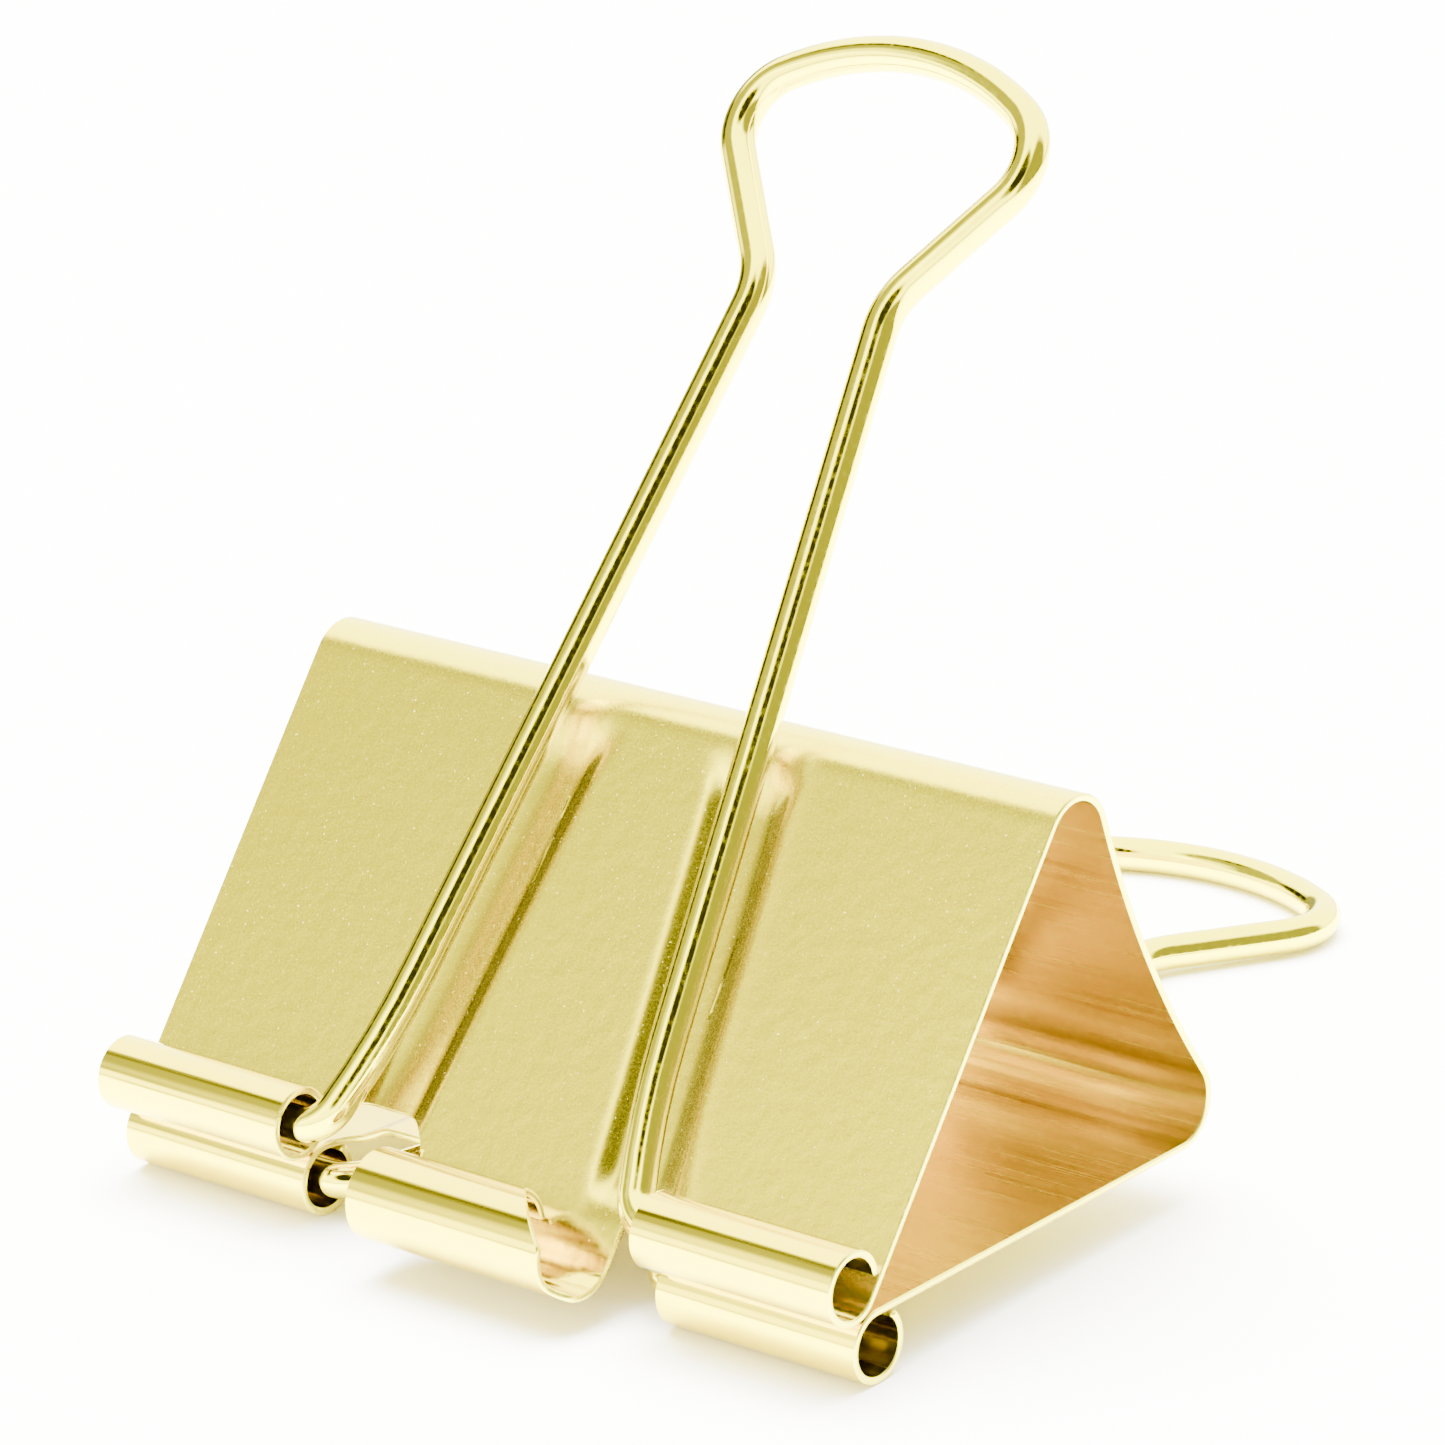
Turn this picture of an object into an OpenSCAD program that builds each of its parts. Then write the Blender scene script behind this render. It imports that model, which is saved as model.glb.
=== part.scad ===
// Large binder clip: a folded spring-steel body and two bent-wire handles.
// The clip is closed and lies on its lower jaw, with both handles folded back
// against the jaws. X runs along the lips, +Y from the lips to the spine, +Z up.
// The origin is in the middle of the base of the whole clip's box.
//
// Two working frames are used inside the modules:
// - the jaw frame: the inner face of a jaw is Z = 0, +Y runs from the lips to
//   the fold and +Z points out of the clip, with both jaws meeting at Y = 0;
// - the middle frame: +Y runs along the plane half-way between the jaws.

/* [Body sheet] */
// Width of the body, along the lips
body_w = 51; // [42:0.5:62]
// Thickness of the spring-steel sheet
sheet_t = 0.4; // [0.3:0.02:0.5]
// Distance from the lips to the middle of the spine, on the inside
body_d = 26.3; // [21:0.1:33]
// Angle between the closed jaws
jaw_angle = 52.3; // [46:0.1:60]
// Inside radius of the two folds between the jaws and the spine
fold_r = 2.2; // [1.6:0.1:3]
// Radius of the spine's inward bow
spine_bow_r = 60; // [45:1:90]

/* [Rolled lips] */
// Outside radius of the side rolls, which hold the feet of the handles
roll_r = 2.05; // [1.8:0.05:2.6]
// Gap between the closed rolls of the two jaws
lip_gap = 0.12; // [0.08:0.02:0.3]
// Gap between the free edge of a roll and the sheet it is rolled back to
seam_gap = 0.15; // [0.1:0.05:0.3]
// Outside radius of the middle roll of the upper jaw
mid_roll_r = 2.5; // [2.2:0.05:2.8]
// How far the middle roll stands in front of the side rolls
mid_roll_drop = 2.4; // [2:0.1:3.2]
// Width of the middle roll
mid_roll_w = 14.4; // [12:0.2:16]
// Depth of the notches behind the rolls, where the handle legs pass
notch_d = 2.4; // [2:0.1:3.2]
// Gap between a turning handle leg and the middle roll
leg_gap = 0.35; // [0.25:0.05:0.6]

/* [Pressed channels] */
// Depth of the channels pressed into the jaws under the handle legs
channel_d = 0.45; // [0.3:0.05:0.6]
// Width of a channel
channel_w = 6; // [5:0.2:6.6]
// How far the middle of a channel lies inboard of its leg
channel_in = 0.8; // [0.4:0.1:1]

/* [Wire handles] */
// Diameter of the handle wire
wire_d = 2; // [1.6:0.05:2.2]
// Length of a handle, from its hinge axis to the outside of its loop
handle_l = 66.1; // [56:0.1:80]
// Half-width of the loop, at the middle of the wire
loop_hw = 9.75; // [8.5:0.05:12]
// Half-angle of the wide arc at the end of the loop
loop_arc = 30; // [24:1:36]
// Radius of the loop's two corners, at the middle of the wire
loop_corner_r = 3.5; // [3:0.1:4.5]
// Slant of the loop's sides, from the handle's middle line
loop_side_angle = 35; // [30:1:42]
// Half-width of the neck, at the middle of the wire
neck_hw = 4.5; // [3.5:0.1:5.5]
// Radius of the neck's bends
neck_r = 4.5; // [3:0.1:6]
// Angle at which each leg spreads from the handle's middle line
leg_angle = 6; // [4.5:0.1:7.5]
// Radius of the slow outward curve at the lower end of a leg
flare_r = 40; // [30:1:60]
// Angle of that curve
flare_angle = 12; // [8:1:14]
// Radius of the bend between a leg and its foot
foot_bend_r = 2.2; // [1.8:0.1:2.6]
// Straight length of each foot, inside its roll
foot_l = 6.5; // [5:0.1:8]

/* [Hidden] */
$fn = 96;

wire_r = wire_d / 2;
half_angle = jaw_angle / 2;

// Hinge axis of a handle in the jaw frame: the centre of the side rolls
hinge_y = (roll_r * (1 - cos(half_angle)) + lip_gap / 2) / sin(half_angle);

// Centre of the middle roll in the jaw frame
mid_roll_y = hinge_y - mid_roll_drop;

// Centre of a fold in the jaw frame: tangent to the jaw and to the bowed spine
bow_y = body_d + spine_bow_r;
fold_reach = cos(half_angle) * bow_y;
fold_const = pow(bow_y - fold_r * sin(half_angle), 2)
    + pow(fold_r * cos(half_angle), 2)
    - pow(spine_bow_r + fold_r, 2);
fold_y = fold_reach - sqrt(fold_reach * fold_reach - fold_const);
fold_mid_z = fold_y * sin(half_angle) - fold_r * cos(half_angle);
bow_angle = asin(fold_mid_z / (spine_bow_r + fold_r));

// Middle line of a handle: wide arc, corner, side, neck, leg, flare, bend, foot
loop_arc_r = loop_corner_r + (loop_hw - loop_corner_r) / sin(loop_arc);
corner_turn = 90 + loop_side_angle - loop_arc;
side_end_x = neck_hw + neck_r * (1 - cos(loop_side_angle));
side_start_x = loop_hw - loop_corner_r * (1 - cos(loop_side_angle));
side_l = (side_start_x - side_end_x) / sin(loop_side_angle);
neck_turn = loop_side_angle + leg_angle;
loop_top = handle_l - wire_r;
leg_top_y = loop_top
    - loop_arc_r * (1 - cos(loop_arc))
    - loop_corner_r * (cos(loop_arc) + sin(loop_side_angle))
    - side_l * cos(loop_side_angle)
    - neck_r * (sin(loop_side_angle) + sin(leg_angle));
leg_top_x = neck_hw + neck_r * (1 - cos(leg_angle));
foot_turn = 90 - leg_angle - flare_angle;
flare_drop = flare_r * (sin(leg_angle + flare_angle) - sin(leg_angle));
flare_out = flare_r * (cos(leg_angle) - cos(leg_angle + flare_angle));
bend_drop = foot_bend_r * (1 - cos(foot_turn));
bend_out = foot_bend_r * sin(foot_turn);
leg_bottom_y = flare_drop + bend_drop;
leg_l = (leg_top_y - leg_bottom_y) / cos(leg_angle);
leg_bottom_x = leg_top_x + leg_l * sin(leg_angle);
flare_end_x = leg_bottom_x + flare_out;
foot_x = flare_end_x + bend_out;
HANDLE_SIDE = [
    ["arc", loop_corner_r, corner_turn],
    ["line", side_l],
    ["arc", neck_r, -neck_turn],
    ["line", leg_l],
    ["arc", flare_r, -flare_angle],
    ["arc", foot_bend_r, -foot_turn],
    ["line", foot_l]
];

// Ends of the rolls, from the legs that pass between them. The middle roll ends
// close to one leg, and its free corner is cut off where that leg turns past it.
bend_in_roll = 0.2;
side_roll_x = foot_x - bend_in_roll;
leg_slant = leg_angle + flare_angle;
leg_side_x = flare_end_x - wire_r / cos(leg_slant) - leg_gap;
mid_roll_reach = mid_roll_drop + mid_roll_r - bend_drop;
mid_roll_to = leg_side_x;
mid_roll_from = mid_roll_to - mid_roll_w;
mid_cut_x = leg_side_x - mid_roll_reach * tan(leg_slant);

// Channels: shallow troughs of this radius, on a line beside each leg, from a
// little behind the notches to the fold
channel_lead = 1;
trough_r = (channel_w * channel_w / 4 + channel_d * channel_d) / (2 * channel_d);
channel_y = hinge_y + notch_d + channel_lead;
channel_x = leg_bottom_x - channel_in + leg_bottom_y * tan(leg_angle);

// Tilt that brings the lower rolls and the lower handle's loop to the table
rest_tilt = asin((roll_r - wire_r) / loop_top);
mid_tilt = half_angle - rest_tilt;

// Place of the jaws' meeting line that puts the origin under the box's middle
upper_tilt = mid_tilt + half_angle;
front_y = mid_roll_y * cos(upper_tilt) - mid_roll_r * sin(upper_tilt) - mid_roll_r;
lower_hinge_y = hinge_y * cos(rest_tilt) - roll_r * sin(rest_tilt);
back_y = lower_hinge_y + loop_top * cos(rest_tilt) + wire_r;
meet_y = -(front_y + back_y) / 2;
meet_z = roll_r + roll_r * cos(rest_tilt) + hinge_y * sin(rest_tilt);

// How far a cutter runs past the face it cuts
past = 1;

// Gap where a jaw meets the fold that bends it
fold_gap = 0.01;

// Bends of the sheet: how much each thins it on each face, how far the sheet
// before it runs into it, and how much narrower a roll is at each end
bend_thin = 0.01;
bend_lap = 0.05;
roll_inset = 0.02;

// Height and length of the mark that a bend leaves on the wire
bend_mark = 0.01;
bend_mark_l = 0.2;

// Sector of a ring between two angles, up to 360 degrees apart
module arc_band(r_in, r_out, from, to) {
    step = (to - from) / 8;
    rays = [for (a = [0:8]) 2 * r_out * [cos(from + a * step), sin(from + a * step)]];
    intersection() {
        difference() {
            circle(r = r_out);
            circle(r = r_in);
        }
        polygon(concat([[0, 0]], rays));
    }
}

// Sweeps a section drawn in Y and Z along X
module along_x(from, to) {
    translate([from, 0, 0])
        rotate([90, 0, 90])
            linear_extrude(to - from)
                children();
}

// Puts the origin of the middle frame on the line where the jaws meet
module in_middle_frame() {
    translate([0, meet_y, meet_z])
        rotate([mid_tilt, 0, 0])
            children();
}

// Puts a piece drawn in the jaw frame on the upper jaw
module on_upper_side() {
    in_middle_frame()
        rotate([half_angle, 0, 0])
            children();
}

// Puts a piece drawn in the jaw frame on the lower jaw
module on_lower_side() {
    in_middle_frame()
        rotate([-half_angle, 0, 0])
            mirror([0, 0, 1])
                children();
}

// Rolled edge: the sheet turns away from the other jaw and back to itself
module roll(r, y, from, to) {
    seam = asin((sheet_t + seam_gap) / r - 1);
    translate([0, y, r])
        along_x(from + roll_inset, to - roll_inset)
            arc_band(r - sheet_t + bend_thin, r - bend_thin, seam, 270);
}

// Side rolls, one at each end of the lips
module side_rolls() {
    roll(roll_r, hinge_y, side_roll_x, body_w / 2);
    roll(roll_r, hinge_y, -body_w / 2, -side_roll_x);
}

// Slot with a round end, which lets a leg pass beside the rolls
module notch(from, to) {
    w = to - from;
    end_r = min(0.45 * w, notch_d);
    translate([from, mid_roll_y - mid_roll_r])
        square([w, notch_d - end_r + hinge_y - mid_roll_y + mid_roll_r]);
    translate([from + end_r, hinge_y + notch_d - end_r])
        circle(r = end_r);
    translate([to - end_r, hinge_y + notch_d - end_r])
        circle(r = end_r);
    translate([from + end_r, hinge_y])
        square([w - 2 * end_r, notch_d]);
}

// One pressed channel: what is outside `r` of its axis, from the notch to the fold
module trough(r) {
    intersection() {
        translate([channel_x, 0, sheet_t - channel_d + trough_r])
            rotate([0, 0, leg_angle])
                rotate([-90, 0, 0])
                    translate([0, 0, -past])
                        cylinder(r = r, h = 2 * fold_y);
        translate([0, channel_y, -channel_d - past])
            cube([body_w / 2, fold_y - fold_gap - channel_y, channel_d + sheet_t + 2 * past]);
    }
}

// Both channels' ridges, below the inner face
module ridges() {
    intersection() {
        union() {
            trough(trough_r + sheet_t);
            mirror([1, 0, 0]) trough(trough_r + sheet_t);
        }
        translate([-body_w / 2, 0, -channel_d - past])
            cube([body_w, fold_y - fold_gap, channel_d + past + sheet_t / 2]);
    }
}

// Blank of a jaw, from the side rolls to the fold
module jaw_blank() {
    translate([-body_w / 2, hinge_y - bend_lap])
        square([body_w, fold_y - fold_gap - hinge_y + bend_lap]);
}

// Flat part of a jaw, cut to the outline given, with its channels
module jaw_sheet() {
    difference() {
        union() {
            linear_extrude(sheet_t)
                children();
            ridges();
        }
        trough(trough_r);
        mirror([1, 0, 0]) trough(trough_r);
    }
}

// What the slanted cut across the middle roll's free corner takes away
module mid_roll_cut() {
    translate([mid_cut_x, mid_roll_y - 2 * mid_roll_r, mid_roll_r])
        rotate([0, -45, 0])
            cube(4 * mid_roll_r);
}

// Lower jaw: wide cut-out between the side rolls
module lower_jaw() {
    color("#d9b93c")
        on_lower_side() {
            jaw_sheet()
                difference() {
                    jaw_blank();
                    notch(-side_roll_x, side_roll_x);
                }
            side_rolls();
        }
}

// Upper jaw: two notches and a tab with a larger middle roll between them
module upper_jaw() {
    color("#d9b93c")
        on_upper_side() {
            jaw_sheet() {
                difference() {
                    jaw_blank();
                    notch(mid_roll_to, side_roll_x);
                    notch(-side_roll_x, mid_roll_from);
                }
                translate([mid_roll_from + roll_inset, mid_roll_y - bend_lap])
                    square([mid_roll_w - 2 * roll_inset, mid_roll_drop + past]);
            }
            side_rolls();
            difference() {
                roll(mid_roll_r, mid_roll_y, mid_roll_from, mid_roll_to);
                mid_roll_cut();
            }
        }
}

// Fold between the upper jaw and the spine, in the middle frame
module fold() {
    rotate([half_angle, 0, 0])
        translate([0, fold_y, -fold_r])
            along_x(-body_w / 2 + roll_inset, body_w / 2 - roll_inset)
                arc_band(fold_r + bend_thin, fold_r + sheet_t - bend_thin,
                    -bow_angle - half_angle, 90);
}

// Spine: the bowed back of the clip, with the fold at each end
module spine() {
    reach = bow_angle + bend_lap / spine_bow_r * 180 / PI;
    color("#c9a52e")
        in_middle_frame() {
            along_x(-body_w / 2, body_w / 2)
                translate([bow_y, 0])
                    arc_band(spine_bow_r - sheet_t, spine_bow_r, 180 - reach, 180 + reach);
            fold();
            mirror([0, 0, 1]) fold();
        }
}

// Curved stretch of wire that starts along +X and turns right
module wire_arc(r, turn) {
    translate([0, -r, 0])
        rotate([0, 0, 90 - turn])
            rotate_extrude(angle = turn)
                translate([r, 0])
                    circle(r = wire_r);
}

// Round wire that follows straight and curved stretches, starting along +X;
// a positive angle turns right and a negative one turns left. Each stretch
// starts with a bend mark, a collar that closes its joint with the last one.
module wire_run(path, i = 0) {
    if (i < len(path)) {
        stretch = path[i];
        rotate([0, 90, 0])
            cylinder(r = wire_r + bend_mark, h = bend_mark_l, center = true);
        if (stretch[0] == "line") {
            rotate([0, 90, 0])
                cylinder(r = wire_r, h = stretch[1]);
            translate([stretch[1], 0, 0])
                wire_run(path, i + 1);
        } else {
            r = stretch[1];
            turn = abs(stretch[2]);
            left = stretch[2] < 0 ? 1 : 0;
            mirror([0, left, 0]) {
                wire_arc(r, turn);
                translate([r * sin(turn), -r * (1 - cos(turn)), 0])
                    rotate([0, 0, -turn])
                        mirror([0, left, 0])
                            wire_run(path, i + 1);
            }
        }
    }
}

// One side of a handle, from the end of the wide arc to the foot
module handle_side() {
    translate([loop_arc_r * sin(loop_arc), -loop_arc_r * (1 - cos(loop_arc)), 0])
        rotate([0, 0, -loop_arc])
            wire_run(HANDLE_SIDE);
}

// Wide arc at the end of the loop, half on each side
module loop_end() {
    translate([0, -loop_arc_r, 0])
        rotate([0, 0, 90 - loop_arc])
            rotate_extrude(angle = 2 * loop_arc)
                translate([loop_arc_r, 0])
                    circle(r = wire_r);
}

// Wire handle in the jaw frame, folded back along the jaw
module handle() {
    color("#e0c04a")
        translate([0, hinge_y + loop_top, roll_r]) {
            loop_end();
            handle_side();
            mirror([1, 0, 0]) handle_side();
        }
}

// Handle of the upper jaw
module upper_handle() {
    on_upper_side() handle();
}

// Handle of the lower jaw
module lower_handle() {
    on_lower_side() handle();
}

lower_jaw();
spine();
upper_jaw();
upper_handle();
lower_handle();
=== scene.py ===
"""Large gold-plated binder clip: its sheet body and wire handles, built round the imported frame.

Shapes are worked out in millimetres in the jaw frame, where a jaw's inner face is Z = 0, +Y runs
from the lips to the fold and +Z points out of the clip. They are then turned into the row frame.
"""

import math
from types import SimpleNamespace

import bpy
import numpy as np
from mathutils import Matrix, Vector


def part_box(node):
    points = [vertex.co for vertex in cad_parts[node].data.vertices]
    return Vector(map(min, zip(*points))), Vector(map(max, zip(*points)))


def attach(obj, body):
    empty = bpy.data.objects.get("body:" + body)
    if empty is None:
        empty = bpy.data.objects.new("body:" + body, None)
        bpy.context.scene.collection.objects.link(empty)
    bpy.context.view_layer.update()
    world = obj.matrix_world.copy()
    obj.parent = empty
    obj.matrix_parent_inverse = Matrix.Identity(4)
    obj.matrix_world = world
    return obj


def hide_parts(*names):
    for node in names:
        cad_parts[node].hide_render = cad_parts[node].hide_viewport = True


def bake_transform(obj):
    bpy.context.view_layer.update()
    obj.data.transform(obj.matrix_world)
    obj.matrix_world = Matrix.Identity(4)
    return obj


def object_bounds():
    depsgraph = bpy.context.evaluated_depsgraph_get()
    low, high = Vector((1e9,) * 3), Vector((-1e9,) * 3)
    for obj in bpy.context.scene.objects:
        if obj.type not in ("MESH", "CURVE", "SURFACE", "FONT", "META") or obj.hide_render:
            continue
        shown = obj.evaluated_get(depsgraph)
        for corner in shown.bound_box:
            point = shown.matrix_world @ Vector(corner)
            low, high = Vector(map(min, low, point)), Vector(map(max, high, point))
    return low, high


bl_info = {
    "name": "Gold Binder Clip",
    "version": (1, 0, 0),
    "blender": (4, 5, 0),
    "location": "View3D > Sidebar > Binder Clip",
    "description": "Builds a folded spring-steel binder clip with two wire handles",
    "category": "Object",
}

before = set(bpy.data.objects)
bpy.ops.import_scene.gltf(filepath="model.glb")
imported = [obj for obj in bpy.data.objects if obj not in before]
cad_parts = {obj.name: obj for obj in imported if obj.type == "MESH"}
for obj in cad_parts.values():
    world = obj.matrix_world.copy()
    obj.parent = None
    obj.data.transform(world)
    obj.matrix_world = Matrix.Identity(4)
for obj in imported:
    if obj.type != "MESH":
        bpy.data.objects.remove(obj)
CAD_LOW, CAD_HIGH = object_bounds()
SPINE_LOW, SPINE_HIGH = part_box("spine")

MM = 0.001
WIRE_SIDES = 40
TAU = 2 * math.pi

# Where the parts of the studio's wall lie, as directions from the clip
CARD_TOWARDS = (-0.66, -0.47, 0.58)
SEAM_TOWARDS = (-0.61, -0.25, 0.75)
DARK_TOWARDS = (0.34, -0.68, 0.65)
SIDE_TOWARDS = (1.0, 0.0, 0.25)
FAR_SIDE_TOWARDS = (-0.95, 0.28, 0.0)
FAR_DARK_TOWARDS = (-0.94, -0.10, 0.32)
GLOW_TOWARDS = (-0.46, -0.74, 0.49)

# The share of a channel's half-width that is its flat floor, and how much deeper than the stated
# channel depth the visible hollow is
CHANNEL_FLOOR = 0.45
CHANNEL_SWELL = 1.25

# The plate's tone on the channel walls, as a share of its colour: a painted dark reflection, which stands
# for the dark reflection that polished channel walls show.
PAINTED_REFLECTION_TONE = 0.35

# The middle tab's sheared corner: where its slant starts and ends round the roll, where it widens
# again under the front and over what angle, in radians, and its place in X at the free edge, in mm
CUT_START, CUT_END = math.radians(13), math.radians(105)
CUT_FRONT, CUT_BLEND = math.radians(160), math.radians(40)
CUT_WIDTH = 4.3

# Light levels of the studio: its white walls, the grey card that the upper face mirrors, the dark
# opening beside it, the dim side walls, the glow by the card, the white seen behind the floor, and
# the overhead box in watts
WALL_LEVEL = 8.0
CARD_LEVEL = 1.0
DARK_LEVEL = 0.05
SIDE_LEVEL = 0.7
GLOW_LEVEL = 4.0
BACKDROP_LEVEL = 16.0
FLOOR_POWER = 140.0


# ---------------------------------------------------------------------------
# Sizes and colours that a user would change
# ---------------------------------------------------------------------------


def length(name, description, millimetres):
    """A length property, given in millimetres."""
    return bpy.props.FloatProperty(
        name=name,
        description=description,
        default=millimetres * MM,
        min=0.0,
        precision=5,
        unit="LENGTH",
        subtype="DISTANCE",
    )


def angle(name, description, degrees):
    """An angle property, given in degrees."""
    return bpy.props.FloatProperty(
        name=name,
        description=description,
        default=math.radians(degrees),
        unit="ROTATION",
        subtype="ANGLE",
    )


def colour(name, description, rgb):
    """A linear colour property."""
    return bpy.props.FloatVectorProperty(
        name=name, description=description, default=rgb, size=3, min=0.0, max=1.0, subtype="COLOR"
    )


class ClipSheetSizes(bpy.types.PropertyGroup):
    """Sizes of the folded sheet body"""

    body_w: length("Body width", "Width of the body along the lips", (SPINE_HIGH.x - SPINE_LOW.x) / MM)
    sheet_t: length("Sheet thickness", "Thickness of the spring-steel sheet", 0.4)
    body_d: length("Body depth", "Lips to the middle of the spine, on the inside", 26.3)
    jaw_angle: angle("Jaw angle", "Angle between the closed jaws", 52.3)
    fold_r: length("Fold radius", "Inside radius of the two folds", 2.2)
    spine_bow_r: length("Spine bow radius", "Radius of the spine's inward bow", 60.0)
    roll_r: length("Side roll radius", "Outside radius of the side rolls", 2.05)
    lip_gap: length("Lip gap", "Gap between the closed rolls", 0.12)
    seam_gap: length("Roll seam gap", "Gap between a roll's free edge and the sheet", 0.15)
    mid_roll_r: length("Middle roll radius", "Outside radius of the middle roll", 2.5)
    mid_roll_drop: length("Middle roll lead", "How far the middle roll stands in front", 2.4)
    mid_roll_w: length("Middle roll width", "Width of the middle roll", 14.4)
    notch_d: length("Notch depth", "Depth of the notches behind the rolls", 2.4)
    leg_gap: length("Leg gap", "Gap between a turning leg and the middle roll", 0.35)
    channel_d: length("Channel depth", "Depth of the pressed channels", 0.45)
    channel_w: length("Channel width", "Width of a pressed channel", 6.0)
    channel_in: length("Channel shift", "How far a channel lies inboard of its leg", 0.8)
    edge_round: length("Edge rounding", "Rounding of the sheet's cut edges", 0.07)


class ClipWireSizes(bpy.types.PropertyGroup):
    """Sizes of the bent-wire handles"""

    wire_d: length("Wire diameter", "Diameter of the handle wire", 2.0)
    handle_l: length("Handle length", "Hinge axis to the outside of the loop", 66.1)
    loop_hw: length("Loop half-width", "Half-width of the loop at the middle of the wire", 9.75)
    loop_arc: angle("Loop arc", "Half-angle of the wide arc at the end of the loop", 30.0)
    loop_corner_r: length("Loop corner radius", "Radius of the loop's corners", 3.5)
    loop_side_angle: angle("Loop side angle", "Slant of the loop's sides", 35.0)
    neck_hw: length("Neck half-width", "Half-width of the neck", 4.5)
    neck_r: length("Neck radius", "Radius of the neck's bends", 4.5)
    leg_angle: angle("Leg angle", "Angle at which each leg spreads", 6.0)
    flare_r: length("Flare radius", "Radius of the slow outward curve of a leg", 40.0)
    flare_angle: angle("Flare angle", "Angle of that curve", 12.0)
    foot_bend_r: length("Foot bend radius", "Radius of the bend between leg and foot", 2.2)
    foot_l: length("Foot length", "Straight length of each foot", 6.5)


class ClipColours(bpy.types.PropertyGroup):
    """Colours of the gold plate and the studio"""

    plate: colour("Plate", "Gold plate on the sheet", (1.0, 0.84, 0.0))
    # The inside colour is darker and more orange than the plate: painted shade of the hollow body
    inside: colour("Inside", "Brushed gold plate inside the body", (0.90, 0.71, 0.0))
    wire: colour("Wire", "Polished gold plate on the wire", (1.0, 0.88, 0.0))
    edge: colour("Cut edge", "Bright gold plate on the cut edges", (1.0, 0.90, 0.05))
    floor: colour("Floor", "Pale studio floor", (0.93, 0.93, 0.92))


SHEET, WIRE, COLOURS = "clip_sheet", "clip_wire", "clip_colours"


# ---------------------------------------------------------------------------
# The clip's measures, in millimetres and radians
# ---------------------------------------------------------------------------


def in_mm(group):
    """The group's values as plain numbers: lengths in millimetres, angles in radians."""
    values = {}
    for key, prop in group.bl_rna.properties.items():
        if prop.type == "FLOAT" and not prop.is_array:
            scale = MM if prop.unit == "LENGTH" else 1.0
            values[key] = getattr(group, key) / scale
    return values


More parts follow.
